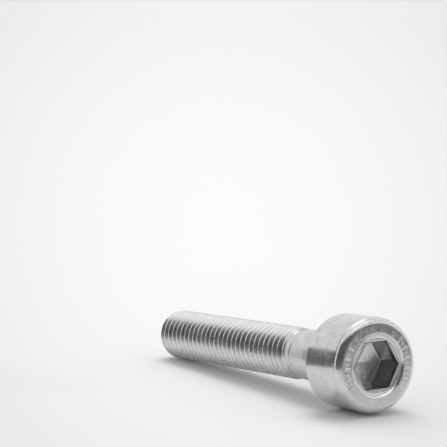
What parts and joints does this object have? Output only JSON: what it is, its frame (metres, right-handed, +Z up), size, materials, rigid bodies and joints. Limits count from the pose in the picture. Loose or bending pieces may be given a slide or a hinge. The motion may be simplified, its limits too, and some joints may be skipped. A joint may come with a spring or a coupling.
{
  "type": "hex socket cap screw",
  "caption": "Partly threaded metric cap screw with a round smooth head, a hexagon socket and a fine right-handed thread, lying on its side.",
  "frame": {"origin": "centre of the bearing face under the head", "axes": "+X level towards the side of the head, +Z up; the screw lies on its side as it comes to rest, with its axis 3.5 degrees off level, head end higher; the floor is at Z = -4.234 mm"},
  "size_m": [0.0353, 0.0084, 0.0087],
  "materials": {
    "steel": "satin"
  },
  "bodies": {
    "root": {"cap_screw": "steel"}
  },
  "joints": []
}
